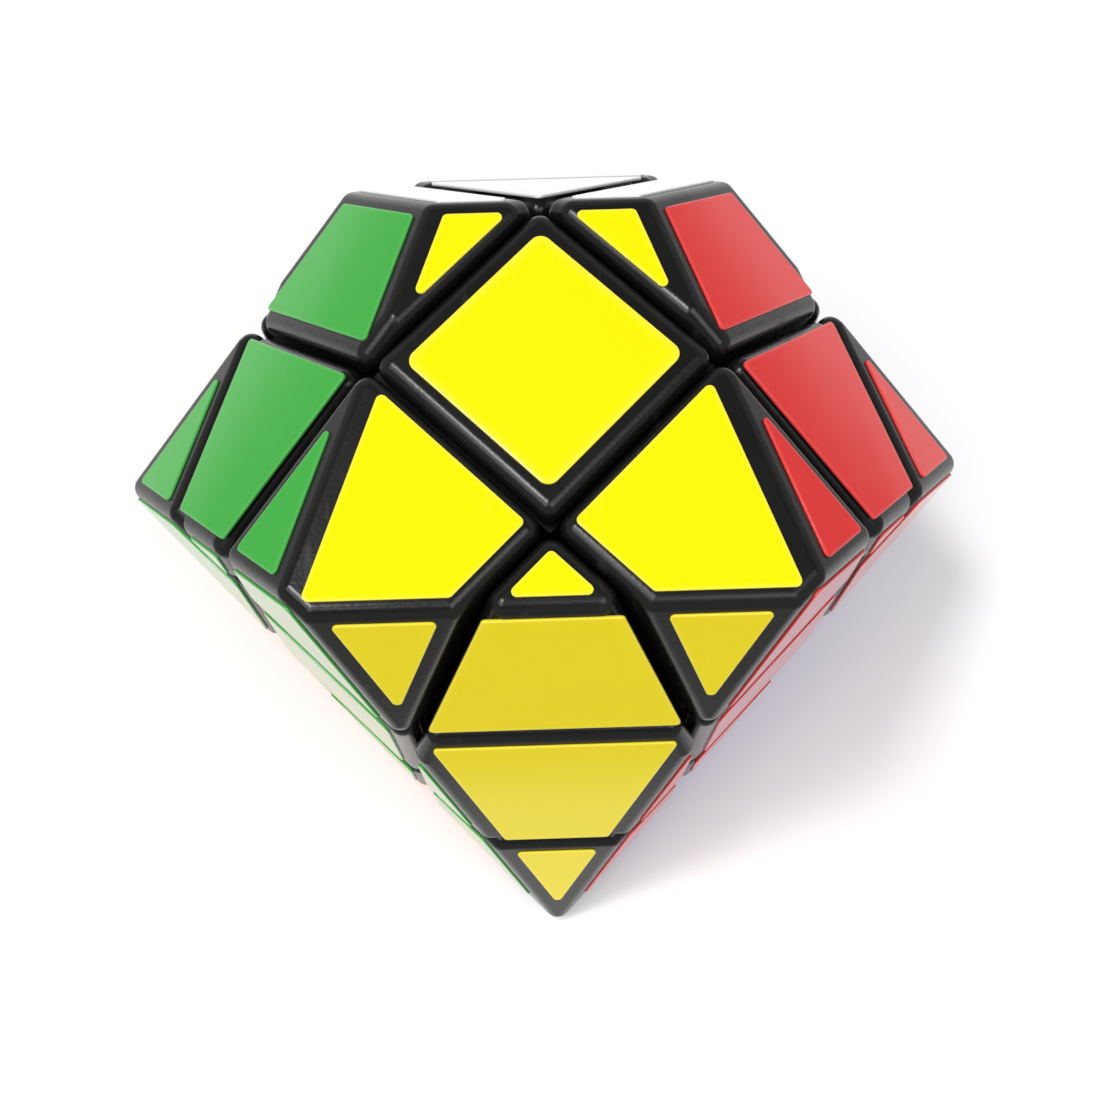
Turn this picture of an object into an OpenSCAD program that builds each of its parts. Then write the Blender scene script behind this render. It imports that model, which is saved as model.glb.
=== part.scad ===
// A thirteen-sided twisty puzzle. A cube cut by three pairs of parallel planes into 26 outer
// pieces is given six leaning faces, one cut-off corner and one sharp corner. The pieces are
// held by feet that reach under their neighbours, and six sprung screws hold the centres to a
// core. It lies on one large face. The upper layer and the lower layer turn about the upright axis.

/* [Outside] */
// Distance between two opposite large faces, without the stickers
cube_w = 54; // [45:0.5:66]
// Thickness of the middle layer
layer_t = 19; // [16:0.5:23]
// Width of the gap between neighbouring pieces
piece_gap = 0.3; // [0.2:0.05:0.5]
// Bevel along each edge that borders a gap
gap_bevel = 0.6; // [0.2:0.1:1.2]
// Bevel along each ridge between two faces of one piece
ridge_bevel = 0.5; // [0.2:0.1:1.2]

/* [Stickers] */
// Thickness of a sticker
sticker_t = 0.2; // [0.1:0.05:0.4]
// Bare plastic between a sticker and the gap beside it
gap_margin = 1.3; // [0.5:0.1:2]
// Bare plastic between an edge piece's sticker and the gap around a centre
inner_margin = 0.9; // [0.5:0.1:2]
// Bare plastic between a sticker and the ridge between two faces of one tier
ridge_margin = 1.6; // [0.5:0.1:2.2]
// Bare plastic between a sticker and the girdle or the rim of the cut face, where tiers meet
girdle_margin = 1.1; // [0.5:0.1:2]
// Bare plastic around the stickers of the six centres
centre_margin = 1.8; // [0.8:0.1:3]
// Share of those margins on the small triangular stickers
small_share = 0.9; // [0.4:0.05:1]

/* [Mechanism] */
// How far each foot reaches under the next piece
undercut = 3.6; // [2:0.1:4.5]
// Height of the narrow neck that joins a corner piece to its foot
neck_h = 3.4; // [2:0.1:4]
// Radius of the core ball
core_r = 9; // [7.5:0.1:9.5]
// Radius of the six pads on the core
pad_r = 4.2; // [3.5:0.1:5]
// Height of the pads above the core ball
pad_h = 1; // [0.4:0.1:2]
// Thickness of the floor that a spring presses on
floor_t = 2.6; // [1.5:0.1:4]
// Thickness of a centre cap
cap_t = 2.6; // [2:0.1:3.5]
// Length of the plug under a centre cap
plug_h = 1; // [0.6:0.1:2]

/* [Screws] */
// Radius of a screw's shank
screw_r = 1.5; // [1:0.1:2]
// Radius of a screw's head
head_r = 2.9; // [2.6:0.1:3.2]
// Thickness of a screw's head
head_t = 1.8; // [1.2:0.1:2.4]
// Radius of the well that holds the spring and the head
well_r = 3.7; // [3.5:0.1:4.2]
// Thickness of a washer
washer_t = 0.5; // [0.3:0.1:0.8]
// Radius of the spring wire
wire_r = 0.3; // [0.2:0.05:0.4]
// Running clearance between a screw and the centre that turns on it
bore_play = 0.05; // [0.02:0.01:0.1]
// Clearance of a spring or a cap plug in its seat
seat_play = 0.1; // [0.05:0.05:0.2]

/* [Hidden] */
$fn = 96;
SHELL = [0.07, 0.07, 0.07];
half_w = cube_w / 2;
half_t = layer_t / 2;
play = piece_gap / 2;
block = 2 * cube_w;
tiny = 0.001;
least_face = 0.05;
small_face = layer_t * layer_t / 4;
lean = (half_w - half_t) / (half_w + half_t);
foot_w = half_t - undercut;
track_r = sqrt(3) * (half_t + play) + neck_h;
stem_z = core_r + pad_h + piece_gap;
seat_z = stem_z + floor_t;
head_z = half_w - cap_t - plug_h - 2 * piece_gap - head_t;
washer_z = head_z - washer_t;
screw_tip = core_r / 2;
slot_w = 0.8;
slot_l = 3.4;

AXES = [[0, 0, 1], [1, 0, 0], [0, 1, 0]];
COLOURS = [
    ["yellow", [1, 0.93, 0.05]],
    ["purple", [0.42, 0.2, 0.6]],
    ["orange", [1, 0.45, 0.08]],
    ["blue", [0.1, 0.3, 0.8]],
    ["green", [0.2, 0.65, 0.25]],
    ["red", [0.85, 0.12, 0.1]],
    ["white", [0.95, 0.95, 0.95]],
];

// A plane is [nx, ny, nz, offset], with its normal pointing out of the material.
function unit(v) = v / norm(v);
function plane(n, offset) = concat(unit(n), offset / norm(n));
function normal(p) = [p[0], p[1], p[2]];
function height(p, point) = normal(p) * point - p[3];

// Each face is [colour, plane]: six cube faces, six leaning faces and the cut corner.
leaning = half_w * (2 - lean);
FACES = concat(
    [for (i = [0:2]) [i, plane(AXES[i], half_w)]],
    [for (i = [0:2]) [i, plane((1 + lean) * AXES[i] - [1, 1, 1], leaning)]],
    [for (i = [0:2]) [i + 3, plane(-AXES[i], half_w)]],
    [for (i = [0:2]) [i + 3, plane([1, 1, 1] - (1 + lean) * AXES[i], leaning)]],
    [[6, plane([1, 1, 1], half_w + layer_t)]]
);
base_face = 6;

// A place in the cube is [x, y, z] with -1, 0 or 1 for each axis.
PLACES = [
    for (z = [1, 0, -1]) for (y = [-1:1]) for (x = [-1:1])
        if (abs(x) + abs(y) + abs(z) > 0) [x, y, z]
];
function kind(s) = abs(s[0]) + abs(s[1]) + abs(s[2]);
function level(s) = s[2] > 0 ? "top" : s[2] < 0 ? "bottom" : "middle";
function side(s) =
    s[0] == 0 && s[1] == 0 ? "" :
    s[0] == s[1] ? (s[0] > 0 ? "_back" : "_front") :
    s[0] == -s[1] ? (s[0] > 0 ? "_right" : "_left") :
    s[1] == 0 ? (s[0] > 0 ? "_back_right" : "_front_left") :
    s[1] > 0 ? "_back_left" : "_front_right";
function label(s) = str(level(s), side(s));
function piece_name(s) = str(["centre_", "edge_", "corner_"][kind(s) - 1], label(s));
function cap_name(s) = str("cap_", label(s));
CENTRES = [for (s = PLACES) if (kind(s) == 1) s];

// The planes of the gaps around a place
function cell(s) = [
    for (i = [0:2]) for (e = s[i] == 0 ? [1, -1] : [-s[i]])
        [i == 0 ? e : 0, i == 1 ? e : 0, i == 2 ? e : 0, s[i] == 0 ? half_t - play : -half_t - play]
];

// Flat outlines: a large square on a plane, cut back by other planes
function square_on(p) =
    let (n = normal(p), u = unit(cross(n, abs(n[2]) < 0.9 ? [0, 0, 1] : [1, 0, 0])), v = cross(n, u))
    [for (c = [[1, 1], [-1, 1], [-1, -1], [1, -1]]) p[3] * n + block * (c[0] * u + c[1] * v)];
function cut_edge(a, b, p) =
    let (ha = height(p, a), hb = height(p, b))
    concat(ha <= 0 ? [a] : [], ha * hb < 0 ? [a + (b - a) * ha / (ha - hb)] : []);
function cut(points, p) = [
    for (i = [0:1:len(points) - 1]) each cut_edge(points[i], points[(i + 1) % len(points)], p)
];
function cut_all(points, planes, i = 0) =
    i == len(planes) ? points : cut_all(cut(points, planes[i]), planes, i + 1);
function sum(v, i = 0) = i == len(v) - 1 ? v[i] : v[i] + sum(v, i + 1);
function area(points) = len(points) < 3 ? 0 :
    norm(sum([for (i = [1:len(points) - 2]) cross(points[i] - points[0], points[i + 1] - points[0])])) / 2;
function others(f) = [for (g = [0:len(FACES) - 1]) if (g != f) FACES[g][1]];
function outline(f, s) = cut_all(square_on(FACES[f][1]), concat(others(f), cell(s)));

// The faces of the piece at a place, each as [face number, outline]
function faces_of(s) = [
    for (f = [0:len(FACES) - 1]) let (points = outline(f, s))
        if (area(points) > least_face) [f, points]
];
function on_plane(points, p) = [for (q = points) if (abs(height(p, q)) < tiny) q];

// The plane of a bevel of width w on the edge where two planes meet
function bevel(p, q, w) =
    let (n = normal(p) + normal(q), sine = norm(cross(normal(p), normal(q))))
    concat(unit(n), (p[3] + q[3] - w * sine) / norm(n));
function bevels(s, faces) = concat(
    [for (f = faces) for (c = cell(s)) if (len(on_plane(f[1], c)) > 1) bevel(FACES[f[0]][1], c, gap_bevel)],
    [for (f = faces) for (g = faces) let (p = FACES[f[0]][1], q = FACES[g[0]][1])
        if (f[0] < g[0] && len(on_plane(f[1], q)) > 1) bevel(p, q, ridge_bevel)],
    [for (i = [0:len(cell(s)) - 1]) for (j = [0:1:i - 1]) let (p = cell(s)[i], q = cell(s)[j])
        if (len([for (f = faces) for (v = on_plane(f[1], p)) if (abs(height(q, v)) < tiny) 1]) > 0)
            bevel(p, q, gap_bevel)]
);

// Everything outside a plane
module beyond(p) {
    rotate([0, acos(p[2]), atan2(p[1], p[0])])
        translate([-block, -block, p[3]]) cube([2 * block, 2 * block, block]);
}

// A box at a place: from near to far along the signed axes, and within wide on the others
module box(s, near, far, wide) {
    low = [for (c = s) c == 0 ? -wide : c > 0 ? near : -far];
    size = [for (c = s) c == 0 ? 2 * wide : far - near];
    translate(low) cube(size);
}

// A hollow ball from one radius to another
module ball(inner, outer) {
    difference() {
        sphere(r = outer);
        sphere(r = inner);
    }
}

// The outer part of a piece, above the ball that the feet turn in
module outer_part(s, far = half_w) {
    faces = faces_of(s);
    difference() {
        box(s, half_t + play, far, half_t - play);
        for (f = faces) if (kind(normal(FACES[f[0]][1])) > 1) beyond(FACES[f[0]][1]);
        for (b = bevels(s, faces)) beyond(b);
        sphere(r = track_r + play);
    }
}

// The foot of a corner or an edge, and the neck that joins it to the outer part
module foot(s) {
    intersection() {
        box(s, foot_w + play, half_w, foot_w - play);
        ball(core_r + piece_gap, track_r - play);
    }
    intersection() {
        box(s, half_t + play, half_w, foot_w - play);
        ball(track_r - neck_h / 2, track_r + neck_h / 4);
    }
}

// Turns a part made along +Z to the axis of a centre
module along(s) {
    rotate([0, acos(s[2]), atan2(s[1], s[0])]) children();
}

// A centre: a square flange under the cap, a stem, the spring's well and the screw's bore
module centre(s) {
    difference() {
        union() {
            difference() {
                box(s, half_t + play, half_w - cap_t, half_t - play);
                sphere(r = track_r + play);
            }
            box(s, stem_z, half_w - cap_t, foot_w - play);
        }
        along(s) cylinder(r = screw_r + bore_play, h = half_w);
        along(s) translate([0, 0, seat_z]) cylinder(r = well_r, h = half_w);
    }
}

// The cap of a centre: the visible square and a plug that fits the well
module cap(s) {
    difference() {
        box(s, half_w - cap_t, half_w, half_t - play);
        for (b = bevels(s, faces_of(s))) beyond(b);
    }
    along(s) translate([0, 0, half_w - cap_t - plug_h]) cylinder(r = well_r - seat_play, h = plug_h);
}

module piece(s) {
    color(SHELL) {
        if (kind(s) == 1) {
            centre(s);
        } else {
            outer_part(s);
            foot(s);
        }
    }
}

module core() {
    color([0.85, 0.85, 0.82]) difference() {
        union() {
            sphere(r = core_r);
            for (s = CENTRES) along(s) cylinder(r = pad_r, h = core_r + pad_h);
        }
        for (s = CENTRES) along(s) translate([0, 0, screw_tip]) cylinder(r = screw_r, h = half_w);
    }
}

module screws() {
    color("silver") for (s = CENTRES) along(s) {
        translate([0, 0, screw_tip]) cylinder(r = screw_r, h = head_z - screw_tip);
        translate([0, 0, head_z]) difference() {
            cylinder(r = head_r, h = head_t);
            for (a = [0, 90]) rotate([0, 0, a])
                translate([-slot_l / 2, -slot_w / 2, head_t / 2]) cube([slot_l, slot_w, head_t]);
        }
    }
}

module washers() {
    color("gainsboro") for (s = CENTRES) along(s) translate([0, 0, washer_z]) difference() {
        cylinder(r = well_r - 2 * seat_play, h = washer_t);
        translate([0, 0, -washer_t]) cylinder(r = screw_r + bore_play, h = 3 * washer_t);
    }
}

// Springs pressed nearly solid: each coil touches the next
module springs() {
    low = seat_z + seat_play + wire_r;
    high = washer_z - wire_r;
    coils = ceil((high - low) / (1.8 * wire_r));
    ring_r = well_r - 2 * seat_play - 2 * wire_r;
    color("gray") for (s = CENTRES) along(s) rotate_extrude()
        for (i = [0:coils]) translate([ring_r, low + (high - low) * i / coils]) circle(r = wire_r, $fn = 24);
}

// The outline of a sticker: the face of the piece, drawn in from each edge by its margin
// The tiers are the lower faces, the upper faces and the cut face.
function tier(p) = let (rise = normal(p) * unit([1, 1, 1])) rise > 0.99 ? 2 : rise > 0 ? 1 : 0;
function margin(s, p, q, points, at_gap) =
    let (share = area(points) < small_face ? small_share : 1)
    kind(s) == 1 ? centre_margin :
    share * (
        !at_gap ? (tier(p) == tier(q) ? ridge_margin : girdle_margin) :
        kind(s) == 2 && abs(normal(q) * s) > 0 ? inner_margin : gap_margin
    );
function inset(p, q, points, m) =
    let (flat = unit(normal(q) - (normal(q) * normal(p)) * normal(p)))
    concat(flat, flat * points[0] - m);
function sticker_outline(s, f, points) =
    let (p = FACES[f][1], planes = concat(cell(s), others(f)))
    cut_all(points, [
        for (c = [0:len(planes) - 1]) let (edge = on_plane(points, planes[c]))
            if (len(edge) > 1) inset(p, planes[c], edge, margin(s, p, planes[c], points, c < len(cell(s))))
    ]);

module sticker(s, f, points) {
    p = FACES[f][1];
    tilt = acos(p[2]);
    turn = atan2(p[1], p[0]);
    across = [cos(tilt) * cos(turn), cos(tilt) * sin(turn), -sin(tilt)];
    along_edge = [-sin(turn), cos(turn), 0];
    rotate([0, tilt, turn]) translate([0, 0, p[3]]) linear_extrude(sticker_t)
        polygon([for (v = sticker_outline(s, f, points)) [v * across, v * along_edge]]);
}

// A group holds the stickers of one colour on one layer. Those on the base are apart.
function in_group(s, f, colour, z, base) =
    s[2] == z && FACES[f][0] == colour && (f == base_face) == base;
function group_size(g) = len([
    for (s = PLACES) if (s[2] == g[2])
        for (f = faces_of(s)) if (in_group(s, f[0], g[1], g[2], g[3])) f
]);
ALL_GROUPS = concat(
    [for (z = [1, 0, -1]) for (c = [0:6])
        [str("stickers_", COLOURS[c][0], "_", level([0, 0, z])), c, z, false]],
    [["stickers_base", 3, -1, true]]
);
GROUPS = [for (g = ALL_GROUPS) if (group_size(g) > 0) g];

module stickers(g) {
    color(COLOURS[g[1]][1]) for (s = PLACES) if (s[2] == g[2])
        for (f = faces_of(s)) if (in_group(s, f[0], g[1], g[2], g[3])) sticker(s, f[0], f[1]);
}

// The puzzle stands on its base stickers, turned so that its sharp corner points to the front.
module stand() {
    translate([0, 0, half_w + sticker_t]) rotate([0, 0, 45]) children();
}

stand() core();
stand() screws();
stand() washers();
stand() springs();
for (s = PLACES) stand() piece(s);
for (s = CENTRES) stand() color(SHELL) cap(s);
for (g = GROUPS) stand() stickers(g);
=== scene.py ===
import math

import bmesh
import bpy
import numpy as np
from bpy.props import FloatProperty, FloatVectorProperty, IntProperty, PointerProperty
from bpy.types import Operator, Panel, PropertyGroup
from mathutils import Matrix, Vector


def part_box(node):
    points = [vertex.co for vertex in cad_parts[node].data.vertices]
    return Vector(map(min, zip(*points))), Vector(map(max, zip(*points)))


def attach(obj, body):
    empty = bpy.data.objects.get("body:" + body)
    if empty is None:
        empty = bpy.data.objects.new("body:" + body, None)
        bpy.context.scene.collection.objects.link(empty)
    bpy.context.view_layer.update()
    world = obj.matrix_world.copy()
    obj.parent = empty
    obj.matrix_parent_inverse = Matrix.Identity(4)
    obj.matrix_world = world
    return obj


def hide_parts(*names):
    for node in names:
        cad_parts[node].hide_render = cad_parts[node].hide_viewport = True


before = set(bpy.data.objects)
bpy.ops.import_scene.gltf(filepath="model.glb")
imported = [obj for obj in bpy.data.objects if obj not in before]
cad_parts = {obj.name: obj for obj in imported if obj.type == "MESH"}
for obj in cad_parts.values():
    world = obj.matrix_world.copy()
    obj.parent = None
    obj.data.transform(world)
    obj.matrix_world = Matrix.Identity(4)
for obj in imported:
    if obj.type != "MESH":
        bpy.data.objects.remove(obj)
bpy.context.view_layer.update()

bl_info = {
    "name": "Thirteen-Sided Twisty Puzzle",
    "version": (1, 0, 0),
    "blender": (4, 5, 0),
    "location": "View3D > Sidebar > Puzzle",
    "description": "Builds the black pieces, the vinyl stickers and the sprung core of a twisty puzzle",
    "category": "Add Mesh",
}

# Sizes that the frame gives, in metres
FILM_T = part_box("stickers_base")[1][2]
HALF_W = (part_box("cap_top")[1][2] - FILM_T) / 2
MIDDLE = np.array([0.0, 0.0, HALF_W + FILM_T])
WALL_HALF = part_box("cap_middle_back_right")[1][2] - MIDDLE[2]
CAP_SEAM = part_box("centre_top")[1][2] - MIDDLE[2]
STEM_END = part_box("centre_top")[0][2] - MIDDLE[2]
PLUG_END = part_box("cap_top")[0][2] - MIDDLE[2]
FOOT_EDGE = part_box("corner_top_front")[0][2] - MIDDLE[2]
WASHER_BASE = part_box("springs")[1][2] - MIDDLE[2]

BODIES = {1: "upper_layer", 0: "middle_layer", -1: "lower_layer"}
LEVELS = {1: "top", 0: "middle", -1: "bottom"}
SIDES = {
    (0, 0): "", (1, 1): "_back", (-1, -1): "_front", (1, -1): "_right", (-1, 1): "_left",
    (1, 0): "_back_right", (-1, 0): "_front_left", (0, 1): "_back_left", (0, -1): "_front_right",
}
FINISHES = ("yellow", "purple", "orange", "blue", "green", "red", "white")
FACE_FINISH = (0, 1, 2, 0, 1, 2, 3, 4, 5, 3, 4, 5, 6)
BASE_FACE = 6
PLACES = [
    (x, y, z) for z in (1, 0, -1) for y in (-1, 0, 1) for x in (-1, 0, 1) if (x, y, z) != (0, 0, 0)
]
SAME = 1e-7  # Lengths below this count as none
TIER_STARTS = (0, 1.7)
SQUARE_PART = 0.99  # A normal with a larger part lies along an axis of the cube
TURN = np.array([[1, -1, 0], [1, 1, 0], [0, 0, math.sqrt(2)]]) / math.sqrt(2)


# ---------------------------------------------------------------- what a user may change

class PuzzleSizes(PropertyGroup):
    """Sizes of the visible pieces, in metres"""

    gap: FloatProperty(
        name="Gap", description="Width of the gap between neighbouring pieces",
        default=0.0003, unit="LENGTH", precision=5)
    edge_round: FloatProperty(
        name="Edge rounding", description="Radius along the outer edges of every black piece",
        default=0.00129, unit="LENGTH", precision=5)
    round_steps: IntProperty(
        name="Rounding steps", description="Facets across each rounded edge", default=6, min=2, max=12)
    gap_margin: FloatProperty(
        name="Margin at a gap", description="Bare plastic between a sticker and the gap beside it",
        default=0.0013, unit="LENGTH", precision=5)
    inner_margin: FloatProperty(
        name="Margin beside a centre",
        description="Bare plastic between an edge's sticker and a centre's gap",
        default=0.0009, unit="LENGTH", precision=5)
    ridge_margin: FloatProperty(
        name="Margin at a ridge", description="Bare plastic between a sticker and a ridge inside one tier",
        default=0.0016, unit="LENGTH", precision=5)
    girdle_margin: FloatProperty(
        name="Margin at the girdle", description="Bare plastic between a sticker and the girdle or cut face",
        default=0.0011, unit="LENGTH", precision=5)
    centre_margin: FloatProperty(
        name="Margin on a centre", description="Bare plastic around the sticker of each centre",
        default=0.0018, unit="LENGTH", precision=5)
    small_share: FloatProperty(
        name="Small sticker share", description="Share of each margin kept on small stickers",
        default=0.9, subtype="FACTOR")
    film_corner: FloatProperty(
        name="Sticker corner", description="Radius of the corners of a large sticker on a square face",
        default=0.00095, unit="LENGTH", precision=5)
    small_corner: FloatProperty(
        name="Sharp sticker corner", description="Radius of the corners of every other sticker",
        default=0.00042, unit="LENGTH", precision=5)
    plug: FloatProperty(
        name="Plug", description="Radius of the plug that holds a cap in its well",
        default=0.0036, unit="LENGTH", precision=5)
    neck: FloatProperty(
        name="Neck", description="Height of the neck between a piece and its foot",
        default=0.0034, unit="LENGTH", precision=5)
    core_ball: FloatProperty(
        name="Core ball", description="Radius of the ball at the middle of the core",
        default=0.009, unit="LENGTH", precision=5)
    spring_floor: FloatProperty(
        name="Spring floor", description="Thickness of the floor that a spring presses on",
        default=0.0026, unit="LENGTH", precision=5)
    wire: FloatProperty(
        name="Spring wire", description="Radius of the spring wire",
        default=0.0003, unit="LENGTH", precision=5)
    coil: FloatProperty(
        name="Coil", description="Radius of a coil at the middle of its wire",
        default=0.0029, unit="LENGTH", precision=5)
    spring_turns: IntProperty(
        name="Spring turns", description="Number of turns of each spring", default=9, min=3, max=14)


def colour(name, description, default):
    """A colour that a user may change."""
    return FloatVectorProperty(
        name=name, description=description, default=default, size=3, min=0, max=1, subtype="COLOR")


class PuzzleColours(PropertyGroup):
    """Colours of the plastic, the vinyl and the metal"""

    plastic: colour("Plastic", "Colour of the moulded pieces", (0.0062, 0.0062, 0.006))
    yellow: colour("Yellow", "Colour of the yellow vinyl", (0.92, 0.75, 0.0015))
    purple: colour("Purple", "Colour of the purple vinyl", (0.20, 0.055, 0.36))
    orange: colour("Orange", "Colour of the orange vinyl", (0.95, 0.22, 0.012))
    blue: colour("Blue", "Colour of the blue vinyl", (0.02, 0.075, 0.46))
    green: colour("Green", "Colour of the green vinyl", (0.032, 0.41, 0.036))
    red: colour("Red", "Colour of the red vinyl", (0.80, 0.011, 0.008))
    white: colour("White", "Colour of the white vinyl", (0.92, 0.92, 0.92))
    core: colour("Core", "Colour of the core", (0.74, 0.73, 0.68))
    plate: colour("Zinc plate", "Colour of the screws and washers", (0.66, 0.67, 0.70))
    wire: colour("Spring wire", "Colour of the springs", (0.36, 0.36, 0.38))


class PuzzleStage(PropertyGroup):
    """The camera, and the card and table below the puzzle"""

    azimuth: FloatProperty(
        name="Azimuth", description="Turn of the camera from straight ahead",
        default=math.radians(1.85), subtype="ANGLE")
    elevation: FloatProperty(
        name="Elevation", description="Height of the camera above the horizon",
        default=math.radians(72.47), subtype="ANGLE")
    distance: FloatProperty(
        name="Distance", description="From the camera to the point it looks at",
        default=0.1413, unit="LENGTH")
    lens: FloatProperty(name="Lens", description="Focal length", default=50.7, unit="CAMERA")
    card: colour("Card", "Colour of the card that the puzzle lies on", (0.97, 0.97, 0.97))
    table: colour("Table", "Colour of the table around the card", (0.42, 0.42, 0.42))
    card_width: FloatProperty(
        name="Card width", description="Width of the white card", default=0.205, unit="LENGTH")
    card_front: FloatProperty(
        name="Card front", description="From the puzzle's middle to the front edge of the card",
        default=0.06, unit="LENGTH")
    aim: FloatVectorProperty(
        name="Aim", description="Point that the camera looks at", default=(0.0002, -0.0069, 0.0274),
        size=3, subtype="TRANSLATION")


# ---------------------------------------------------------------- flat-sided solids

def unit(vectors):
    """Vectors divided by their lengths."""
    return vectors / np.linalg.norm(vectors, axis=-1, keepdims=True)


def to_frame(points):
    """Cube coordinates turned an eighth of a turn about the upright axis and raised to the middle."""
    return points @ TURN.T + MIDDLE


def puzzle_planes(half_w, half_t):
    """The thirteen faces, each a unit normal and an offset.

    Three faces are the cube's upper ones. Three lower ones lean between them: the sum of the axes,
    less one plus the lean times one axis, turned over. The same six are then mirrored through the
    middle, and the last face cuts a corner off, square to the sum of the axes.
    """
    lean = (half_w - half_t) / (half_w + half_t)
    axes = np.eye(3)[[2, 0, 1]]
    leaning = (1 + lean) * axes - 1
    normals = np.vstack([axes, leaning, -axes, -leaning, np.ones((1, 3))])
    offsets = np.repeat([half_w, half_w * (2 - lean), half_w, half_w * (2 - lean)], 3)
    offsets = np.append(offsets, half_w + 2 * half_t)
    size = np.linalg.norm(normals, axis=1)
    return np.column_stack([normals / size[:, None], offsets / size])


def wall_planes(place, far, near):
    """The planes around a place: behind near on a signed axis, and inside far both ways on the others."""
    rows = []
    for axis, sign in enumerate(place):
        for way in ((1, -1) if sign == 0 else (-sign,)):
            normal = np.zeros(3)
            normal[axis] = way
            rows.append([*normal, far if sign == 0 else -near])
    return np.array(rows)


def cut(points, plane):
    """The part of an outline behind a plane: kept corners, and a new one where a side crosses it."""
    if not len(points):
        return points
    height = points @ plane[:3] - plane[3]
    after, height_after = np.roll(points, -1, 0), np.roll(height, -1)
    crosses = height * height_after < 0
    share = height / np.where(crosses, height - height_after, 1)
    pairs = np.stack([points, points + share[:, None] * (after - points)], 1)
    return pairs[np.stack([height <= 0, crosses], 1)]


def in_plane(normal):
    """Two unit vectors that make a right-handed set with the normal."""
    helper = np.array([0.0, 0.0, 1.0]) if abs(normal[2]) < 0.9 else np.array([1.0, 0.0, 0.0])
    across = unit(np.cross(normal, helper))
    return across, np.cross(normal, across)


def outline(plane, others):
    """The face of a solid on one plane: a wide square, cut back by every other plane."""
    across, up = in_plane(plane[:3])
    reach = 8 * HALF_W
    corners = np.array([[1, 1], [-1, 1], [-1, -1], [1, -1]]) * reach
    points = plane[3] * plane[:3] + corners @ np.array([across, up])
    for other in others:
        points = cut(points, other)
    return points


def area(points):
    """Half the length of the sum of the cross products of a fan of triangles."""
    if len(points) < 3:
        return 0.0
    spokes = points[1:] - points[0]
    return np.linalg.norm(np.cross(spokes[:-1], spokes[1:]).sum(0)) / 2


def flat_sided(planes):
    """Corners, the loop of corners of each face, and the number of each face's plane."""
    loops = [outline(plane, np.delete(planes, i, 0)) for i, plane in enumerate(planes)]
    used = [i for i, loop in enumerate(loops) if area(loop) > SAME * HALF_W]
    stacked = np.vstack([loops[i] for i in used])
    near = np.linalg.norm(stacked[:, None] - stacked[None], axis=2) < SAME
    kept, index = np.unique(near.argmax(1), return_inverse=True)
    sizes = np.cumsum([len(loops[i]) for i in used])[:-1]
    faces = [loop[loop != np.roll(loop, 1)] for loop in np.split(index, sizes)]
    return stacked[kept], faces, used


# ---------------------------------------------------------------- surfaces

class Surface:
    """Points, their outward directions, a rim value each, and faces, gathered piece by piece."""

    def __init__(self):
        self.points, self.outward, self.rim, self.faces, self.count = [], [], [], [], 0

    def add(self, points, faces, outward=None, rim=0.0):
        """Points given without an outward direction get a zero one, and are shaded from their faces."""
        points = points.reshape(-1, 3)
        self.points.append(points)
        self.outward.append(np.zeros_like(points) if outward is None else outward.reshape(-1, 3))
        self.rim.append(np.broadcast_to(np.asarray(rim, float).ravel(), len(points)).copy())
        self.faces += [(np.asarray(face) + self.count).tolist() for face in faces]
        self.count += len(points)


def grid_faces(rows, columns, closed):
    """Quads of a grid of points, row after row. A closed grid joins its last column to its first."""
    wide = columns if closed else columns - 1
    row, column = np.meshgrid(np.arange(rows - 1), np.arange(wide), indexing="ij")
    after = (column + 1) % columns
    return np.stack(
        [row * columns + column, (row + 1) * columns + column,
         (row + 1) * columns + after, row * columns + after], -1).reshape(-1, 4)


def arc(first, last, steps):
    """Unit vectors in equal turns from first to last: the two mixed by the sines of their shares."""
    share = np.linspace(0, 1, steps + 1)[:, None]
    angle = math.acos(float(np.clip(first @ last, -1, 1)))
    return (np.sin((1 - share) * angle) * first + np.sin(share * angle) * last) / math.sin(angle)


def add_rounded(surface, planes, radius, steps):
    """A flat-sided solid with its edges and corners rolled round by a ball.

    Every plane moves in by the radius. The surface is then all that lies one radius away from the
    smaller solid: each face moved out along its normal, an arc of normals carried along each edge,
    and at each corner a patch of rings from the mean normal out to the arcs that meet there.
    """
    corners, loops, used = flat_sided(planes - [0, 0, 0, radius])
    normals = planes[used, :3]
    sides = {}
    for number, loop in enumerate(loops):
        face_points = corners[loop] + radius * normals[number]
        surface.add(face_points, [np.arange(len(loop))], np.repeat(normals[number][None], len(loop), 0))
        sides.update({(int(a), int(b)): number for a, b in zip(loop, np.roll(loop, -1))})
    for (a, b), number in sides.items():
        if a < b and (b, a) in sides:
            bend = arc(normals[number], normals[sides[b, a]], steps)
            strip = corners[[b, a]][:, None] + radius * bend[None]
            quads = grid_faces(2, steps + 1, closed=False)
            surface.add(strip, quads, np.stack([bend, bend]))
    for corner in range(len(corners)):
        meeting = normals[[corner in loop for loop in loops]]
        mean = unit(meeting.sum(0))
        across, up = in_plane(mean)
        order = np.argsort(np.arctan2(meeting @ up, meeting @ across))
        ring = meeting[order]
        border = np.concatenate([arc(ring[i - 1], ring[i], steps)[:-1] for i in range(len(ring))])
        share = np.arange(1, steps + 1)[:, None, None] / steps
        patch = unit(mean + share * (border - mean))
        spokes = np.concatenate([mean[None], patch.reshape(-1, 3)])
        wide = len(border)
        first = np.arange(wide) + 1
        fan = np.stack([np.zeros(wide, int), first, np.roll(first, -1)], 1)
        rings = grid_faces(steps, wide, closed=True) + 1
        surface.add(corners[corner] + radius * spokes, [*fan, *rings], spokes)


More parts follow.
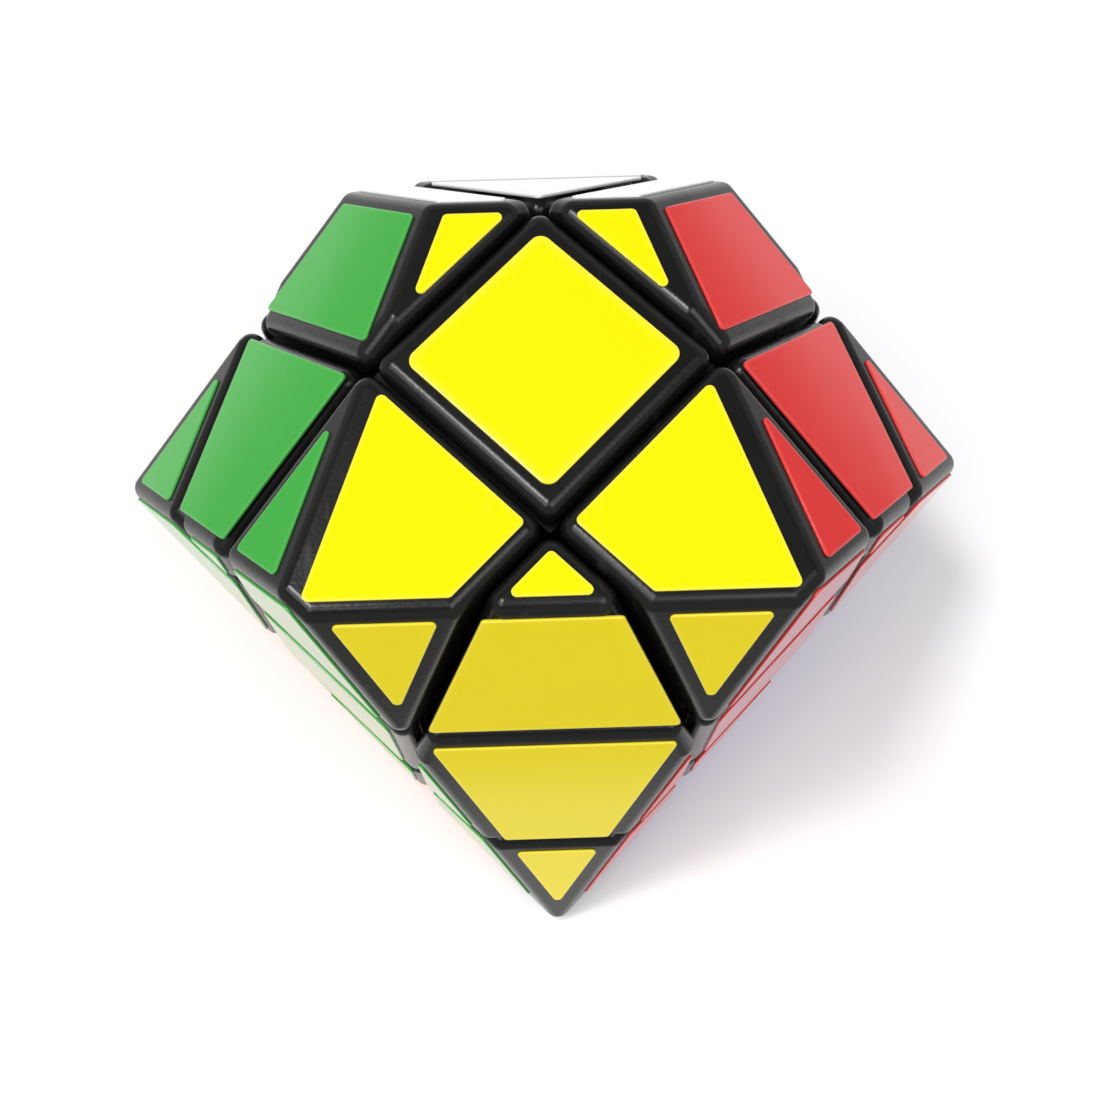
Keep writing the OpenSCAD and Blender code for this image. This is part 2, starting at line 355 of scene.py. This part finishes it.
def add_soft_body(surface, planes, ball, middle, power=26, rows=22, columns=44):
    """A closed body round a middle point, inside some planes and a ball about the origin.

    Two angles give a direction. Its length is the soft least of the distances to the planes and to
    the ball: each is turned over and raised to a high power, and their sum is taken back.
    """
    polar = np.linspace(0, math.pi, rows + 1)[:, None]
    turn = np.linspace(0, 2 * math.pi, columns, endpoint=False)[None]
    directions = np.stack([
        np.sin(polar) * np.cos(turn), np.sin(polar) * np.sin(turn), np.cos(polar) + 0 * turn], -1)
    room = planes[:, 3] - planes[:, :3] @ middle
    nearness = np.maximum(directions @ planes[:, :3].T, 0) / room
    lean = directions @ middle
    to_ball = np.sqrt(lean**2 - middle @ middle + ball**2) - lean
    nearness = np.concatenate([nearness, 1 / to_ball[..., None]], -1)
    length = (nearness**power).sum(-1) ** (-1 / power)
    points = middle + length[..., None] * directions
    surface.add(points, grid_faces(rows + 1, columns, closed=True))


def add_turned(surface, profile, axis, steps=48):
    """A profile of radius and height, turned about an axis through the middle of the cube.

    The profile starts at its high end, which keeps the faces outward.
    """
    across, up = in_plane(axis)
    turn = np.linspace(0, 2 * math.pi, steps, endpoint=False)
    spokes = np.cos(turn)[:, None] * across + np.sin(turn)[:, None] * up
    points = profile[:, 0, None, None] * spokes[None] + profile[:, 1, None, None] * axis
    surface.add(points, grid_faces(len(profile), steps, closed=True))


SIDE_SHARE = 0.9312  # Most of a sticker's side that its two corner arcs may take


def film_corners(points, radius):
    """For each corner of a flat outline: the middle of its arc and the directions of its two sides' normals.

    The middle of an arc lies one radius inside both sides. The radius is held to what the shortest
    side leaves room for, since each arc takes the radius times the tangent of half its turn.
    """
    before = unit(points - np.roll(points, 1, 0))
    after = unit(np.roll(points, -1, 0) - points)
    turn = np.arctan2(before[:, 0] * after[:, 1] - before[:, 1] * after[:, 0], (before * after).sum(1))
    side = np.linalg.norm(np.roll(points, -1, 0) - points, axis=1)
    taken = np.tan(turn / 2)
    radius = min(radius, SIDE_SHARE * (side / (taken + np.roll(taken, -1))).min())
    outward_before = np.column_stack([before[:, 1], -before[:, 0]])
    start = np.arctan2(outward_before[:, 1], outward_before[:, 0])
    bisector = unit(outward_before + np.column_stack([after[:, 1], -after[:, 0]]))
    middles = points - bisector * (radius / np.cos(turn / 2))[:, None]
    return middles, start, turn, radius


def add_film(surface, plane, points, corner, thickness, steps=8):
    """A sticker: rings of one rounded outline, each a little further in or higher than the last.

    A point of a ring is the middle of its corner's arc, plus what is left of the radius along a
    direction that sweeps through the corner's turn. The outer rings climb the cut edge of the film
    and roll over on to its top, and the inner ones carry the rim value down to nothing. The first ring lies
    a little below the face, so that the film closes on to the rounded plastic around it.
    """
    across, up = in_plane(plane[:3])
    flat = np.column_stack([points @ across, points @ up])
    middles, start, turn, radius = film_corners(flat, corner)
    angle = (start[:, None] + turn[:, None] * np.linspace(0, 1, steps + 1)[None]).ravel()
    spokes = np.column_stack([np.cos(angle), np.sin(angle)])
    centres = np.repeat(middles, steps + 1, 0)
    lip = min(0.3 * thickness, 0.4 * radius)
    inset = np.array([0, 0, 0.3 * lip, lip, 0.3 * radius, 0.6 * radius, 0.9 * radius])
    height = np.array([-0.35 * thickness, thickness - lip, thickness - 0.3 * lip, *[thickness] * 4])
    # Rim values run from 1 on the cut edge to 0 on the top. The vinyl material pales its colour by them,
    # partly for the white core of the cut film and partly as a painted highlight along the edge.
    rim = np.array([1, 1, 1, 0.9, 0.45, 0.15, 0])
    flat_rings = centres[None] + (radius - inset)[:, None, None] * spokes[None]
    rings = flat_rings @ np.array([across, up]) + (plane[3] + height)[:, None, None] * plane[:3]
    wide = len(centres)
    faces = list(grid_faces(len(inset), wide, closed=True)[:, ::-1])
    faces.append(np.arange(wide)[::-1])
    faces.append(np.arange(wide) + (len(inset) - 1) * wide)
    surface.add(rings, faces, rim=np.repeat(rim, wide))


def add_spring(surface, axis, low, high, coil, wire, turns, steps=28, around=8):
    """A round wire carried along a helix whose first and last turns lie flat.

    The height follows a share that eases in and out, so that each end closes on itself. Each ring
    of the wire stands on the radial direction and on the axis.
    """
    across, up = in_plane(axis)
    share = np.linspace(0, 1, turns * steps + 1)
    flat = 0.75 / turns
    climb = np.clip((share - flat) / (1 - 2 * flat), 0, 1)
    height = low + wire + (high - low - 2 * wire) * (climb * 0.94 + 0.06 * share)
    angle = 2 * math.pi * turns * share
    radial = np.cos(angle)[:, None] * across + np.sin(angle)[:, None] * up
    spin = np.linspace(0, 2 * math.pi, around, endpoint=False)
    ring = np.cos(spin)[None, :, None] * radial[:, None] + np.sin(spin)[None, :, None] * axis
    points = coil * radial[:, None] + height[:, None, None] * axis + wire * ring
    faces = list(grid_faces(len(share), around, closed=True))
    faces += [np.arange(around), np.arange(around)[::-1] + (len(share) - 1) * around]
    surface.add(points, faces, ring)


def make_object(name, surface, material):
    """A mesh object in the row frame, with its doubled points merged and its known normals kept."""
    mesh = bpy.data.meshes.new(name)
    points = to_frame(np.concatenate(surface.points))
    mesh.from_pydata(points, [], surface.faces)
    outward = np.concatenate(surface.outward) @ TURN.T
    mesh.attributes.new("outward", "FLOAT_VECTOR", "POINT").data.foreach_set("vector", outward.ravel())
    mesh.attributes.new("rim", "FLOAT", "POINT").data.foreach_set("value", np.concatenate(surface.rim))
    edit = bmesh.new()
    edit.from_mesh(mesh)
    bmesh.ops.remove_doubles(edit, verts=edit.verts, dist=2e-7)
    bmesh.ops.dissolve_degenerate(edit, edges=edit.edges, dist=1e-8)
    edit.to_mesh(mesh)
    edit.free()
    mesh.shade_smooth()
    kept = np.zeros(3 * len(mesh.vertices))
    mesh.attributes["outward"].data.foreach_get("vector", kept)
    mesh.normals_split_custom_set_from_vertices(kept.reshape(-1, 3))
    mesh.attributes.remove(mesh.attributes["outward"])
    mesh.materials.append(material)
    made = bpy.data.objects.new(name, mesh)
    bpy.context.scene.collection.objects.link(made)
    return made


# ---------------------------------------------------------------- materials

def new_group(name, inputs, outputs):
    """An empty shader group with named number inputs and outputs."""
    group = bpy.data.node_groups.new(name, "ShaderNodeTree")
    for label, default in inputs:
        socket = group.interface.new_socket(name=label, in_out="INPUT", socket_type="NodeSocketFloat")
        socket.default_value = default
    for label in outputs:
        group.interface.new_socket(name=label, in_out="OUTPUT", socket_type="NodeSocketFloat")
    return group, group.nodes.new("NodeGroupInput"), group.nodes.new("NodeGroupOutput")


def node(tree, kind, inputs=(), **settings):
    """A node with its settings and inputs set. An input is a value, or a socket to link from."""
    made = tree.nodes.new(kind)
    for key, value in settings.items():
        setattr(made, key, value)
    for key, value in dict(inputs).items():
        if isinstance(value, bpy.types.NodeSocket):
            tree.links.new(value, made.inputs[key])
        else:
            made.inputs[key].default_value = value
    return made


def maths(tree, operation, first, second=0.0, third=0.0):
    """The result of a Math node."""
    made = node(tree, "ShaderNodeMath", {0: first, 1: second, 2: third}, operation=operation)
    return made.outputs[0]


def noise(tree, place, scale, detail, stretch=(1, 1, 1)):
    """Noise over a place, first stretched along the axes."""
    mapped = node(tree, "ShaderNodeMapping", {"Vector": place, "Scale": stretch})
    made = node(tree, "ShaderNodeTexNoise",
                {"Vector": mapped.outputs[0], "Scale": scale, "Detail": detail, "Roughness": 0.55})
    return made.outputs["Fac"]


def grain_group():
    """The fine skin that a polished mould leaves: a height, and a gloss that drifts over the piece."""
    group, given, out = new_group(
        "Moulding Skin", [("Grain scale", 2600.0), ("Drift scale", 90.0)], ["Height", "Drift"])
    place = group.nodes.new("ShaderNodeTexCoord").outputs["Object"]
    fine = noise(group, place, given.outputs["Grain scale"], 2.0)
    drift = noise(group, place, given.outputs["Drift scale"], 3.0)
    group.links.new(maths(group, "MULTIPLY_ADD", drift, 2.5, fine), out.inputs["Height"])
    group.links.new(drift, out.inputs["Drift"])
    return group


def handling_group():
    """Marks of use: soft finger smears, and thin scuffs where a stretched noise peaks."""
    group, given, out = new_group(
        "Handling Marks", [("Smear scale", 60.0), ("Scuff scale", 700.0)], ["Smear", "Scuff"])
    place = group.nodes.new("ShaderNodeTexCoord").outputs["Object"]
    smear = noise(group, place, given.outputs["Smear scale"], 4.0)
    soft = node(group, "ShaderNodeMapRange", {"Value": smear, "From Min": 0.42, "From Max": 0.68})
    scuff = noise(group, place, given.outputs["Scuff scale"], 2.0, (1.0, 0.16, 0.5))
    thin = node(group, "ShaderNodeMapRange", {"Value": scuff, "From Min": 0.66, "From Max": 0.76})
    group.links.new(soft.outputs[0], out.inputs["Smear"])
    group.links.new(thin.outputs[0], out.inputs["Scuff"])
    return group


def film_group():
    """How vinyl lies: long ripples where it was rubbed down, and a fine orange peel."""
    group, given, out = new_group(
        "Vinyl Ripple", [("Ripple scale", 75.0), ("Peel scale", 1500.0), ("Peel share", 0.05)], ["Height"])
    place = group.nodes.new("ShaderNodeTexCoord").outputs["Object"]
    ripple = noise(group, place, given.outputs["Ripple scale"], 1.0, (1.0, 0.45, 1.0))
    peel = noise(group, place, given.outputs["Peel scale"], 1.0)
    group.links.new(
        maths(group, "MULTIPLY_ADD", peel, given.outputs["Peel share"], ripple), out.inputs["Height"])
    return group


GRAIN_DEPTH = 0.00003
GROUPS = {"Moulding Skin": grain_group, "Handling Marks": handling_group, "Vinyl Ripple": film_group}


def effect(tree, name, **inputs):
    """A shared effect placed in a material, with its own values. The group is built once."""
    group = bpy.data.node_groups.get(name) or GROUPS[name]()
    made = tree.nodes.new("ShaderNodeGroup")
    made.node_tree = group
    for key, value in inputs.items():
        made.inputs[key.replace("_", " ")].default_value = value
    return made.outputs


def new_material(name, **shader):
    """A material whose constants stand on the shader's own sockets."""
    material = bpy.data.materials.new(name)
    material.use_nodes = True
    tree = material.node_tree
    principled = tree.nodes["Principled BSDF"]
    for key, value in shader.items():
        principled.inputs[key.replace("_", " ")].default_value = value
    return material, tree, principled


def tinted(tree, colour_value, share, tint):
    """A colour mixed towards a tint by a mask."""
    mixed = node(tree, "ShaderNodeMix", {"Factor": share}, data_type="RGBA")
    mixed.inputs["A"].default_value = (*colour_value, 1)
    mixed.inputs["B"].default_value = (*tint, 1)
    return mixed.outputs["Result"]


def bump(tree, principled, height, distance, strength):
    """A height made into the shader's normal."""
    made = node(tree, "ShaderNodeBump", {"Height": height, "Distance": distance, "Strength": strength})
    tree.links.new(made.outputs["Normal"], principled.inputs["Normal"])


def plastic_material():
    """Black gloss plastic, with smears that dull it and pale dust in its scuffs."""
    found = bpy.data.materials.get("Black Moulded Plastic")
    if found:
        return found
    shade = tuple(bpy.context.scene.puzzle_colours.plastic)
    material, tree, principled = new_material("Black Moulded Plastic", IOR=1.36)
    skin = effect(tree, "Moulding Skin")
    marks = effect(tree, "Handling Marks")
    dust = maths(tree, "MULTIPLY", marks["Scuff"], 0.25)
    tree.links.new(tinted(tree, shade, dust, (0.05, 0.05, 0.052)), principled.inputs["Base Color"])
    rough = maths(tree, "MULTIPLY_ADD", skin["Drift"], 0.10, 0.17)
    rough = maths(tree, "MULTIPLY_ADD", marks["Smear"], 0.07, rough)
    rough = maths(tree, "MULTIPLY_ADD", marks["Scuff"], 0.12, rough)
    tree.links.new(rough, principled.inputs["Roughness"])
    bump(tree, principled, skin["Height"], GRAIN_DEPTH, 0.35)
    return material


def vinyl_material(finish):
    """Glossy film in one colour, with ripples where it was rubbed down. Its colour is painted paler towards
    its cut rim, partly for the white core of the cut vinyl and partly as a painted highlight along the edge.
    """
    name = f"{finish.capitalize()} Vinyl"
    found = bpy.data.materials.get(name)
    if found:
        return found
    shade = np.array(getattr(bpy.context.scene.puzzle_colours, finish))
    material, tree, principled = new_material(name, IOR=1.34)
    marks = effect(tree, "Handling Marks", Smear_scale=45.0, Scuff_scale=420.0)
    rim = node(tree, "ShaderNodeAttribute", attribute_name="rim").outputs["Fac"]
    # The rim value pales the colour at the film's edge, partly for the white core of the cut vinyl and
    # partly as a painted highlight; the scuffs add real wear.
    rim_highlight_and_scuff = maths(tree, "MULTIPLY", rim, 0.22)
    rim_highlight_and_scuff = maths(tree, "MULTIPLY_ADD", marks["Scuff"], 0.05, rim_highlight_and_scuff)
    pale = tuple(0.75 * shade + 0.25)
    tree.links.new(tinted(tree, tuple(shade), rim_highlight_and_scuff, pale), principled.inputs["Base Color"])
    rough = maths(tree, "MULTIPLY_ADD", marks["Smear"], 0.07, 0.06)
    tree.links.new(rough, principled.inputs["Roughness"])
    bump(tree, principled, effect(tree, "Vinyl Ripple")["Height"], 0.0006, 0.10)
    return material


def metal_material(name, shade, rough, grain):
    """Bare metal, darker where it was handled."""
    found = bpy.data.materials.get(name)
    if found:
        return found
    material, tree, principled = new_material(name, Metallic=1.0)
    skin = effect(tree, "Moulding Skin", Grain_scale=grain, Drift_scale=500.0)
    marks = effect(tree, "Handling Marks", Smear_scale=400.0, Scuff_scale=1800.0)
    dull = tuple(0.6 * np.array(shade))
    tree.links.new(tinted(tree, tuple(shade), marks["Smear"], dull), principled.inputs["Base Color"])
    tree.links.new(maths(tree, "MULTIPLY_ADD", skin["Drift"], 0.2, rough), principled.inputs["Roughness"])
    bump(tree, principled, skin["Height"], GRAIN_DEPTH, 0.4)
    return material


def core_material():
    """Pale plastic, greyed by the grease of the mechanism."""
    shade = tuple(bpy.context.scene.puzzle_colours.core)
    material, tree, principled = new_material("Pale Core Plastic", IOR=1.5)
    skin = effect(tree, "Moulding Skin", Grain_scale=1800.0)
    marks = effect(tree, "Handling Marks")
    tree.links.new(
        tinted(tree, shade, maths(tree, "MULTIPLY", marks["Smear"], 0.3), (0.55, 0.53, 0.47)),
        principled.inputs["Base Color"])
    tree.links.new(maths(tree, "MULTIPLY_ADD", skin["Drift"], 0.2, 0.35), principled.inputs["Roughness"])
    bump(tree, principled, skin["Height"], 0.00004, 0.4)
    return material


# ---------------------------------------------------------------- pieces

def kind(place):
    """One for a centre, two for an edge, three for a corner."""
    return sum(map(abs, place))


def place_name(place):
    """A place in words, such as top_front, for its node's name."""
    return LEVELS[place[2]] + SIDES[place[:2]]


def sharp_faces():
    """The planes of the thirteen faces, from the frame's sizes and the gap."""
    gap = bpy.context.scene.puzzle_sizes.gap
    return puzzle_planes(HALF_W, WALL_HALF + gap / 2)


def walls(place):
    """The flat sides that a piece turns to its neighbours across the gap."""
    return wall_planes(place, WALL_HALF, WALL_HALF + bpy.context.scene.puzzle_sizes.gap)


def finish_piece(surface, node_name, place):
    """The surface as an object that stands for its CAD node and moves with its layer."""
    made = make_object(f"shell_{node_name}", surface, plastic_material())
    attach(made, BODIES[place[2]])
    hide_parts(node_name)


def inward_plane(place, offset):
    """A plane square to the direction of a place, that keeps what lies beyond the offset."""
    return np.append(-unit(np.array(place, float)), -offset)


def make_footed(place, node_name):
    """A corner or an edge: the rounded outer part, and the foot that reaches under its neighbours.

    A foot is a soft body inside the walls of the core space and a ball. An edge also has a slim neck.
    """
    sizes = bpy.context.scene.puzzle_sizes
    play = sizes.gap / 2
    track = math.sqrt(3) * (WALL_HALF + sizes.gap) + sizes.neck
    surface = Surface()
    outer = np.vstack([sharp_faces(), walls(place), inward_plane(place, track + play)])
    if kind(place) == 3:
        outer = outer[:-1]
    add_rounded(surface, outer, sizes.edge_round, sizes.round_steps)
    foot_walls = wall_planes(place, FOOT_EDGE - sizes.gap, FOOT_EDGE)
    floor = inward_plane(place, sizes.core_ball + sizes.gap)
    middle = unit(np.array(place, float)) * (track + sizes.core_ball) / 2
    add_soft_body(surface, np.vstack([foot_walls, floor]), track - play, middle)
    if kind(place) == 2:
        slim = wall_planes(place, FOOT_EDGE - sizes.gap, WALL_HALF + sizes.gap)
        ends = [inward_plane(place, track - sizes.neck / 2), -inward_plane(place, track + sizes.neck / 2)]
        add_rounded(surface, np.vstack([slim, *ends]), sizes.wire, 2)
    finish_piece(surface, node_name, place)


CAP_ROUND_SHARE = 0.498  # Most of a cap's thickness that its rounding may take


def make_cap(place):
    """A centre's cap: the rounded square that shows, cut flat at the seam, and the plug below it."""
    sizes = bpy.context.scene.puzzle_sizes
    axis = np.array(place, float)
    surface = Surface()
    seam = np.append(-axis, -CAP_SEAM)
    radius = min(sizes.edge_round, CAP_ROUND_SHARE * (HALF_W - CAP_SEAM))
    add_rounded(surface, np.vstack([sharp_faces(), walls(place), seam]), radius, sizes.round_steps)
    bevel = sizes.wire
    profile = [[0, CAP_SEAM + bevel], [sizes.plug, CAP_SEAM + bevel], [sizes.plug, PLUG_END + bevel],
               [sizes.plug - bevel, PLUG_END], [0, PLUG_END]]
    add_turned(surface, np.array(profile), axis)
    finish_piece(surface, f"cap_{place_name(place)}", place)


def sticker_outline(place, number, faces, gaps):
    """The outline of one sticker: its face of the piece, each side moved in by the margin there.

    Faces stand in three tiers by the sum of their normal's parts: below the girdle, above it, and
    the cut face. A ridge inside one tier has its own margin. Sides shorter than a margin are let go.
    """
    sizes = bpy.context.scene.puzzle_sizes
    plane = faces[number]
    others = np.vstack([gaps, np.delete(faces, number, 0)])
    points = outline(plane, others)
    if area(points) < SAME * HALF_W:
        return None
    tiers = faces[:, :3].sum(1)
    tier = np.digitize(np.append(np.zeros(len(gaps)), np.delete(tiers, number)), TIER_STARTS)
    own_tier = np.digitize(tiers[number], TIER_STARTS)
    share = sizes.small_share if area(points) < (2 * WALL_HALF + sizes.gap) ** 2 / 4 else 1
    inner = points
    for index, other in enumerate(others):
        on_side = points[abs(points @ other[:3] - other[3]) < SAME]
        if len(on_side) < 2 or np.linalg.norm(np.ptp(on_side, axis=0)) < sizes.gap_margin:
            continue
        if kind(place) == 1:
            margin = sizes.centre_margin
        elif index < len(gaps):
            beside_centre = kind(place) == 2 and abs(other[:3] @ place) > SAME
            margin = (sizes.inner_margin if beside_centre else sizes.gap_margin) * share
        else:
            margin = (sizes.ridge_margin if tier[index] == own_tier else sizes.girdle_margin) * share
        flat = unit(other[:3] - (other[:3] @ plane[:3]) * plane[:3])
        inner = cut(inner, np.append(flat, flat @ on_side[0] - margin))
    step = np.linalg.norm(inner - np.roll(inner, 1, 0), axis=1)
    return inner[step > SAME]


class PUZZLE_OT_corners(Operator):
    """Build the eight corner pieces"""
    bl_idname = "puzzle.corners"
    bl_label = "Corners"

    def execute(self, context):
        for place in PLACES:
            if kind(place) == 3:
                make_footed(place, f"corner_{place_name(place)}")
        return {"FINISHED"}


class PUZZLE_OT_edges(Operator):
    """Build the twelve edge pieces"""
    bl_idname = "puzzle.edges"
    bl_label = "Edges"

    def execute(self, context):
        for place in PLACES:
            if kind(place) == 2:
                make_footed(place, f"edge_{place_name(place)}")
        return {"FINISHED"}


class PUZZLE_OT_centres(Operator):
    """Build the six caps and give the centres below them their plastic"""
    bl_idname = "puzzle.centres"
    bl_label = "Centres and caps"

    def execute(self, context):
        for place in PLACES:
            if kind(place) == 1:
                make_cap(place)
                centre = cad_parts[f"centre_{place_name(place)}"]
                centre.data.materials.clear()
                centre.data.materials.append(plastic_material())
        return {"FINISHED"}


class PUZZLE_OT_stickers(Operator):
    """Lay the vinyl stickers, one group for each colour on each layer"""
    bl_idname = "puzzle.stickers"
    bl_label = "Stickers"

    def execute(self, context):
        sizes = context.scene.puzzle_sizes
        faces = sharp_faces()
        groups = {}
        for place in PLACES:
            gaps = walls(place)
            for number, plane in enumerate(faces):
                points = sticker_outline(place, number, faces, gaps)
                if points is None:
                    continue
                finish = FINISHES[FACE_FINISH[number]]
                group = f"stickers_{finish}_{LEVELS[place[2]]}"
                group = "stickers_base" if number == BASE_FACE else group
                surface = groups.setdefault(group, (Surface(), finish, place[2]))[0]
                on_square_face = kind(place) < 3 and abs(plane[:3]).max() > SQUARE_PART
                large = area(points) > WALL_HALF**2
                corner = sizes.film_corner if on_square_face and large else sizes.small_corner
                add_film(surface, plane, points, corner, FILM_T)
        for group, (surface, finish, level) in groups.items():
            made = make_object(f"film_{group}", surface, vinyl_material(finish))
            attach(made, BODIES[level])
            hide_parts(group)
        return {"FINISHED"}


class PUZZLE_OT_core(Operator):
    """Wind the springs and finish the core, the screws and the washers"""
    bl_idname = "puzzle.core"
    bl_label = "Core and springs"

    def execute(self, context):
        sizes, colours = context.scene.puzzle_sizes, context.scene.puzzle_colours
        plate = metal_material("Zinc Plate", colours.plate, 0.16, 3000.0)
        wire = metal_material("Spring Wire", colours.wire, 0.24, 4500.0)
        surface = Surface()
        for axis in np.vstack([np.eye(3), -np.eye(3)]):
            add_spring(surface, axis, STEM_END + sizes.spring_floor + sizes.gap / 3, WASHER_BASE,
                       sizes.coil, sizes.wire, sizes.spring_turns)
        made = make_object("wound_springs", surface, wire)
        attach(made, BODIES[0])
        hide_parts("springs")
        for name, material in (("core", core_material()), ("screws", plate), ("washers", plate)):
            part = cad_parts[name]
            part.data.materials.clear()
            part.data.materials.append(material)
        return {"FINISHED"}


# ---------------------------------------------------------------- stage

TABLE_HALF = 3.0
SENSOR = 36  # In millimetres
LIGHTS = (  # Name, azimuth and elevation in degrees, distance, side, power
    ("window", -108, 72, 0.9, 0.17, 3.0),
    ("soft_left", -62, 64, 1.0, 0.5, 3.4),
    ("soft_right", 50, 64, 1.0, 0.5, 3.05),
)
SIDE_BLEND = 0.01
FRONT_BLEND = 0.005


def table_material():
    """Pale everywhere, and whitest on the card that the puzzle lies on, which blends into the table."""
    stage = bpy.context.scene.puzzle_stage
    material, tree, principled = new_material("Matt Card", Roughness=0.8, Specular_IOR_Level=0.15)
    place = tree.nodes.new("ShaderNodeTexCoord").outputs["Object"]
    apart = node(tree, "ShaderNodeSeparateXYZ", {"Vector": place}).outputs
    across = maths(tree, "ABSOLUTE", apart["X"])
    half = stage.card_width / 2
    side = node(tree, "ShaderNodeMapRange",
                {"Value": across, "From Min": half - SIDE_BLEND, "From Max": half + SIDE_BLEND,
                 "To Min": 1, "To Max": 0}, interpolation_type="SMOOTHSTEP").outputs[0]
    front = node(tree, "ShaderNodeMapRange",
                 {"Value": apart["Y"], "From Min": -stage.card_front - FRONT_BLEND,
                  "From Max": FRONT_BLEND - stage.card_front}, interpolation_type="SMOOTHSTEP").outputs[0]
    card = maths(tree, "MULTIPLY", side, front)
    mottle = maths(tree, "MULTIPLY", noise(tree, place, 14.0, 3.0), 0.06)
    white = node(tree, "ShaderNodeMix", {"Factor": mottle}, data_type="RGBA")
    white.inputs["A"].default_value = (*stage.card, 1)
    white.inputs["B"].default_value = (0.8, 0.8, 0.8, 1)
    mixed = node(tree, "ShaderNodeMix", {"Factor": card}, data_type="RGBA")
    mixed.inputs["A"].default_value = (*stage.table, 1)
    tree.links.new(white.outputs["Result"], mixed.inputs["B"])
    tree.links.new(mixed.outputs["Result"], principled.inputs["Base Color"])
    bump(tree, principled, noise(tree, place, 900.0, 2.0), GRAIN_DEPTH, 0.2)
    return material


def make_world():
    """A soft room, darker overhead than around: a grey that falls as the direction rises."""
    world = bpy.data.worlds.new("soft_room")
    world.use_nodes = True
    tree = world.node_tree
    place = tree.nodes.new("ShaderNodeTexCoord").outputs["Generated"]
    rise = node(tree, "ShaderNodeSeparateXYZ", {"Vector": place}).outputs["Z"]
    grey = node(tree, "ShaderNodeMapRange",
                {"Value": rise, "From Min": 0.45, "From Max": 0.85, "To Min": 0.6, "To Max": 0.18},
                interpolation_type="SMOOTHSTEP").outputs[0]
    tree.links.new(grey, tree.nodes["Background"].inputs["Color"])
    bpy.context.scene.world = world


def stand_off(data, turn, rise, distance):
    """A light or camera that faces the aim, from a turn about the upright axis, a rise and a distance."""
    back = Vector((math.sin(turn) * math.cos(rise), -math.cos(turn) * math.cos(rise), math.sin(rise)))
    made = bpy.data.objects.new(data.name, data)
    made.location = Vector(bpy.context.scene.puzzle_stage.aim) + back * distance
    made.rotation_euler = back.to_track_quat("Z", "Y").to_euler()
    bpy.context.scene.collection.objects.link(made)
    return made


def make_light(name, azimuth, elevation, distance, side, power):
    """A square light, its angles in degrees."""
    data = bpy.data.lights.new(name, "AREA")
    data.shape, data.size, data.energy = "SQUARE", side, power
    stand_off(data, math.radians(azimuth), math.radians(elevation), distance)


class PUZZLE_OT_stage(Operator):
    """Set the table, the soft lights and the camera"""
    bl_idname = "puzzle.stage"
    bl_label = "Stage"

    def execute(self, context):
        scene, stage = context.scene, context.scene.puzzle_stage
        corners = TABLE_HALF * np.array([[-1, -1, 0], [1, -1, 0], [1, 1, 0], [-1, 1, 0]])
        mesh = bpy.data.meshes.new("table")
        mesh.from_pydata(corners, [], [(0, 1, 2, 3)])
        mesh.materials.append(table_material())
        table = bpy.data.objects.new("table", mesh)
        scene.collection.objects.link(table)

        make_world()
        for light in LIGHTS:
            make_light(*light)
        data = bpy.data.cameras.new("camera")
        data.lens = stage.lens
        data.sensor_width = SENSOR
        data.clip_start, data.clip_end = 0.01, 20
        scene.camera = stand_off(data, -stage.azimuth, stage.elevation, stage.distance)
        scene.view_settings.view_transform = "Standard"
        return {"FINISHED"}


class PUZZLE_PT_panel(Panel):
    """Sidebar panel that lists the puzzle's pieces and sizes"""
    bl_label = "Twisty Puzzle"
    bl_idname = "PUZZLE_PT_panel"
    bl_space_type = "VIEW_3D"
    bl_region_type = "UI"
    bl_category = "Puzzle"

    def draw(self, context):
        for operator in OPERATORS:
            self.layout.operator(operator.bl_idname)
        for group in (context.scene.puzzle_sizes, context.scene.puzzle_colours, context.scene.puzzle_stage):
            box = self.layout.box()
            for name in group.bl_rna.properties.keys():
                if name not in ("rna_type", "name"):
                    box.prop(group, name)


GROUP_CLASSES = (PuzzleSizes, PuzzleColours, PuzzleStage)
OPERATORS = (
    PUZZLE_OT_corners, PUZZLE_OT_edges, PUZZLE_OT_centres, PUZZLE_OT_stickers, PUZZLE_OT_core,
    PUZZLE_OT_stage,
)


def register():
    for made in (*GROUP_CLASSES, *OPERATORS, PUZZLE_PT_panel):
        bpy.utils.register_class(made)
    bpy.types.Scene.puzzle_sizes = PointerProperty(type=PuzzleSizes)
    bpy.types.Scene.puzzle_colours = PointerProperty(type=PuzzleColours)
    bpy.types.Scene.puzzle_stage = PointerProperty(type=PuzzleStage)


def unregister():
    for name in ("puzzle_sizes", "puzzle_colours", "puzzle_stage"):
        delattr(bpy.types.Scene, name)
    for made in reversed((*GROUP_CLASSES, *OPERATORS, PUZZLE_PT_panel)):
        bpy.utils.unregister_class(made)


def main():
    register()
    bpy.ops.puzzle.corners()
    bpy.ops.puzzle.edges()
    bpy.ops.puzzle.centres()
    bpy.ops.puzzle.stickers()
    bpy.ops.puzzle.core()
    bpy.ops.puzzle.stage()


if __name__ == "__main__":
    main()
